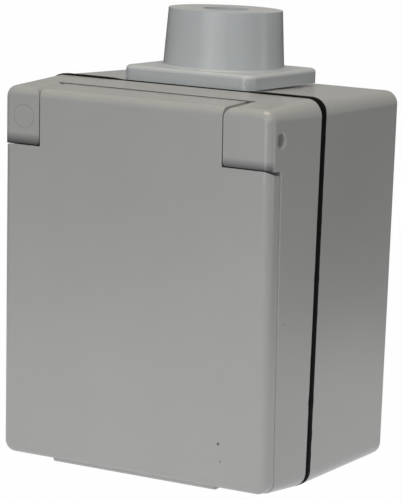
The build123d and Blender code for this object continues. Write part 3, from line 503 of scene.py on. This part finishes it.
# Marks of the mould's ejector pins on the inside of the lid
lean_back = radians(2.35)
front_reach, lid_skin = 65.6, 2.2
inside_y = -front_reach + lid_skin / cos(lean_back)
mark_places = [(x, inside_y - z * tan(lean_back), z) for x in (-31.5, 31.5) for z in (-40.0, -4.0, 23.0)]
marks_tree, marks_keys = mark_tree("ejector_mark", housing_plastic)
lid_marks = grown(
    "lid_ejector_marks",
    mark_places,
    [],
    marks_tree,
    marks_keys,
    {"Mark Radius": 2.1 * MM, "Mark Height": 0.12 * MM, "Turn": radians(-90.0) + lean_back},
    housing_plastic,
)
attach(lid_marks, "lid")


corner, corner_steps, station_gap = 4.1, 8, 1.4
wander, swelling, top_rise, rise_length, entry_room = 0.32, 0.05, 0.26, 3.0, 0.3


def gasket_edge():
    """Rubber edge that swells unevenly out of the joint between the two halves."""
    low, high = (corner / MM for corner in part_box("housing_seal"))
    middle = (low.y + high.y) / 2
    flat_x, flat_z = high.x - corner, high.z - corner
    entry_side = entry_high.x / MM
    stations = []
    for turn, (side_x, side_z) in enumerate(((1, 1), (-1, 1), (-1, -1), (1, -1))):
        start = turn * pi / 2
        for step in range(corner_steps + 1):
            angle = start + step * pi / 2 / corner_steps
            stations.append((side_x * flat_x, side_z * flat_z, angle))
        length = 2 * flat_x if turn % 2 == 0 else 2 * flat_z
        pieces = int(length / station_gap)
        for step in range(1, pieces):
            share = step / pieces
            if turn % 2 == 0:
                stations.append((side_x * flat_x * (1 - 2 * share), side_z * flat_z, start + pi / 2))
            else:
                stations.append((side_x * flat_x, side_z * flat_z * (1 - 2 * share), start + pi / 2))
    half = ((0.0, 0.12), (1.18, 0.08), (1.3, -0.02), (1.3, -0.35))
    profile = [(-reach, rise) for reach, rise in reversed(half[1:])] + list(half)
    vertices, faces = [], []
    for x, z, angle in stations:
        outward = Vector((cos(angle), 0.0, sin(angle)))
        centre = Vector((x, middle, z)) + outward * corner
        for side, rise in profile:
            wobble = noise.noise(centre * 0.35 + Vector((0.0, 40.0 * side, 0.0)))
            swell = 0.14 * noise.noise(centre * 0.9 + Vector((7.0, 0.0, 3.0)))
            reach = side + wander * max(wobble, -0.1) * (1 if side > 0 else -1) * (abs(side) > 1)
            past_entry = min(max(abs(x) - entry_side - entry_room, 0.0) / rise_length, 1.0)
            pushed_up = top_rise * max(sin(angle), 0.0) * past_entry
            lift = rise + (swelling * swell + pushed_up if rise > 0 else 0.0)
            vertices.append((centre + outward * lift + Vector((0.0, reach, 0.0))) * MM)
    ring = len(profile)
    for i in range(len(stations)):
        j = (i + 1) % len(stations)
        for k in range(ring):
            m = (k + 1) % ring
            faces.append((i * ring + k, i * ring + m, j * ring + m, j * ring + k))
    mesh = bpy.data.meshes.new("gasket_edge")
    mesh.from_pydata(vertices, [], faces)
    edge = bmesh.new()
    edge.from_mesh(mesh)
    bmesh.ops.recalc_face_normals(edge, faces=edge.faces)
    edge.to_mesh(mesh)
    edge.free()
    for face in mesh.polygons:
        face.use_smooth = True
    mesh.materials.append(gasket_rubber)
    piece = bpy.data.objects.new("gasket_edge", mesh)
    bpy.context.collection.objects.link(piece)
    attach(piece, "housing")


gasket_edge()


# Floor, light and camera


white, paper_white, paper_cloud_size = (1.0, 1.0, 1.0), (0.98, 0.98, 0.98), 160.0
# Painted light from the floor: strength of the glow in the pool and in the rest, and where each fades, in
# metres.
pool_middle, pool_glow, rest_glow = (0.0, -0.05, 0.0), 0.63, 0.19
pool_reach, rest_reach = (0.16, 0.32), (0.25, 0.5)


def floor_material():
    """Pale paper that glows as painted light in a pool round the socket and dimmer farther off; it looks
    white from the camera.
    """
    material = bpy.data.materials.new("floor_paper")
    material.use_nodes = True
    tree = material.node_tree
    tree.nodes.clear()
    out = tree.nodes.new("ShaderNodeOutputMaterial")
    place = tree.nodes.new("ShaderNodeTexCoord").outputs["Object"]
    apart = tree.nodes.new("ShaderNodeVectorMath")
    apart.operation = "DISTANCE"
    apart.inputs[1].default_value = pool_middle
    tree.links.new(place, apart.inputs[0])
    pool = between(tree, apart.outputs["Value"], pool_glow, 0.0, *pool_reach)
    rest = between(tree, apart.outputs["Value"], rest_glow, 0.0, *rest_reach)
    tone = tinted(tree, mottle(tree, place, paper_cloud_size, 70.0), white, paper_white)
    # Painted light: for all rays but the camera's, the floor glows, brightest in a pool round the socket.
    pool_glow_emission = tree.nodes.new("ShaderNodeEmission")
    tree.links.new(tone, pool_glow_emission.inputs["Color"])
    tree.links.new(combined(tree, pool, rest), pool_glow_emission.inputs["Strength"])
    seen = tree.nodes.new("ShaderNodeEmission")
    tree.links.new(tone, seen.inputs["Color"])
    rays = tree.nodes.new("ShaderNodeLightPath")
    choice = tree.nodes.new("ShaderNodeMixShader")
    tree.links.new(rays.outputs["Is Camera Ray"], choice.inputs[0])
    tree.links.new(pool_glow_emission.outputs["Emission"], choice.inputs[1])
    tree.links.new(seen.outputs["Emission"], choice.inputs[2])
    tree.links.new(choice.outputs["Shader"], out.inputs["Surface"])
    return material


floor_half_width, floor_gap = 6.0, 0.1
floor_mesh = bpy.data.meshes.new("floor")
sheet = bmesh.new()
bmesh.ops.create_grid(sheet, x_segments=8, y_segments=8, size=floor_half_width)
sheet.to_mesh(floor_mesh)
sheet.free()
floor = bpy.data.objects.new("floor", floor_mesh)
floor.location = (0.0, 0.0, solid_box[0][2] - floor_gap * MM)
floor_mesh.materials.append(floor_material())
bpy.context.collection.objects.link(floor)


def soft_light(name, target, azimuth, elevation, distance, size, power, colour=white):
    """A soft panel that faces a target from a direction, in degrees, with its size in metres."""
    data = bpy.data.lights.new(name, "AREA")
    data.shape = "RECTANGLE"
    data.size, data.size_y = size
    data.energy = power
    data.color = colour
    panel = bpy.data.objects.new(name, data)
    turn, rise = radians(azimuth), radians(elevation)
    away = Vector((sin(turn) * cos(rise), -cos(turn) * cos(rise), sin(rise)))
    panel.location = Vector(target) + away * distance
    panel.rotation_mode = "QUATERNION"
    panel.rotation_quaternion = away.to_track_quat("Z", "Y")
    panel.visible_camera = False
    bpy.context.collection.objects.link(panel)


lid_middle, nozzle_foot = (0.0, -0.03, 0.0), (0.0, -0.035, 0.055)
lamp_warm, strip_size = (1.0, 0.89, 0.74), (0.08, 0.11)
soft_light("front_panel", lid_middle, 7.0, 18.0, 1.4, (1.2, 0.8), 4.8)
soft_light("side_panel", lid_middle, 62.0, 15.0, 1.4, (0.4, 0.7), 0.2)
soft_light("foot_panel", lid_middle, 0.0, -1.0, 0.4, (0.4, 0.08), 0.08)
soft_light("front_edge_strip", lid_middle, 3.0, 1.0, 0.42, strip_size, 0.1)
soft_light("right_edge_strip", lid_middle, 112.0, 1.0, 0.42, strip_size, 0.075)
soft_light("nozzle_panel", nozzle_foot, 50.0, 20.0, 0.32, (0.16, 0.16), 0.07)
soft_light("top_panel", lid_middle, 0.0, 85.0, 1.3, (0.9, 0.9), 10.4, lamp_warm)

room_light, backdrop_light = 0.34, 1.0
world = bpy.data.worlds.new("studio")
world.use_nodes = True
sky = world.node_tree.nodes
sky.clear()
world_out = sky.new("ShaderNodeOutputWorld")
room = sky.new("ShaderNodeBackground")
room.inputs["Color"].default_value = (*white, 1.0)
room.inputs["Strength"].default_value = room_light
backdrop = sky.new("ShaderNodeBackground")
backdrop.inputs["Color"].default_value = (*white, 1.0)
backdrop.inputs["Strength"].default_value = backdrop_light
rays = sky.new("ShaderNodeLightPath")
choice = sky.new("ShaderNodeMixShader")
world.node_tree.links.new(rays.outputs["Is Camera Ray"], choice.inputs[0])
world.node_tree.links.new(room.outputs[0], choice.inputs[1])
world.node_tree.links.new(backdrop.outputs[0], choice.inputs[2])
world.node_tree.links.new(choice.outputs[0], world_out.inputs["Surface"])
bpy.context.scene.world = world

camera_place = (0.35809, -0.64703, 0.11852)
yaw, pitch, roll = radians(30.21), radians(9.01), radians(2.27)
forward = Vector((-sin(yaw) * cos(pitch), cos(yaw) * cos(pitch), -sin(pitch)))
level = Vector((cos(yaw), sin(yaw), 0.0))
upright = level.cross(forward)
right = cos(roll) * level + sin(roll) * upright
up = cos(roll) * upright - sin(roll) * level
camera_data = bpy.data.cameras.new("camera")
camera_data.lens = 199.49
camera_data.sensor_width = 36.0
camera_data.clip_start = 0.05
camera_data.clip_end = 20.0
camera = bpy.data.objects.new("camera", camera_data)
aim = Matrix((right, up, -forward)).transposed().to_4x4()
camera.matrix_world = Matrix.Translation(camera_place) @ aim
bpy.context.collection.objects.link(camera)
bpy.context.scene.camera = camera
bpy.context.scene.view_settings.view_transform = "Standard"
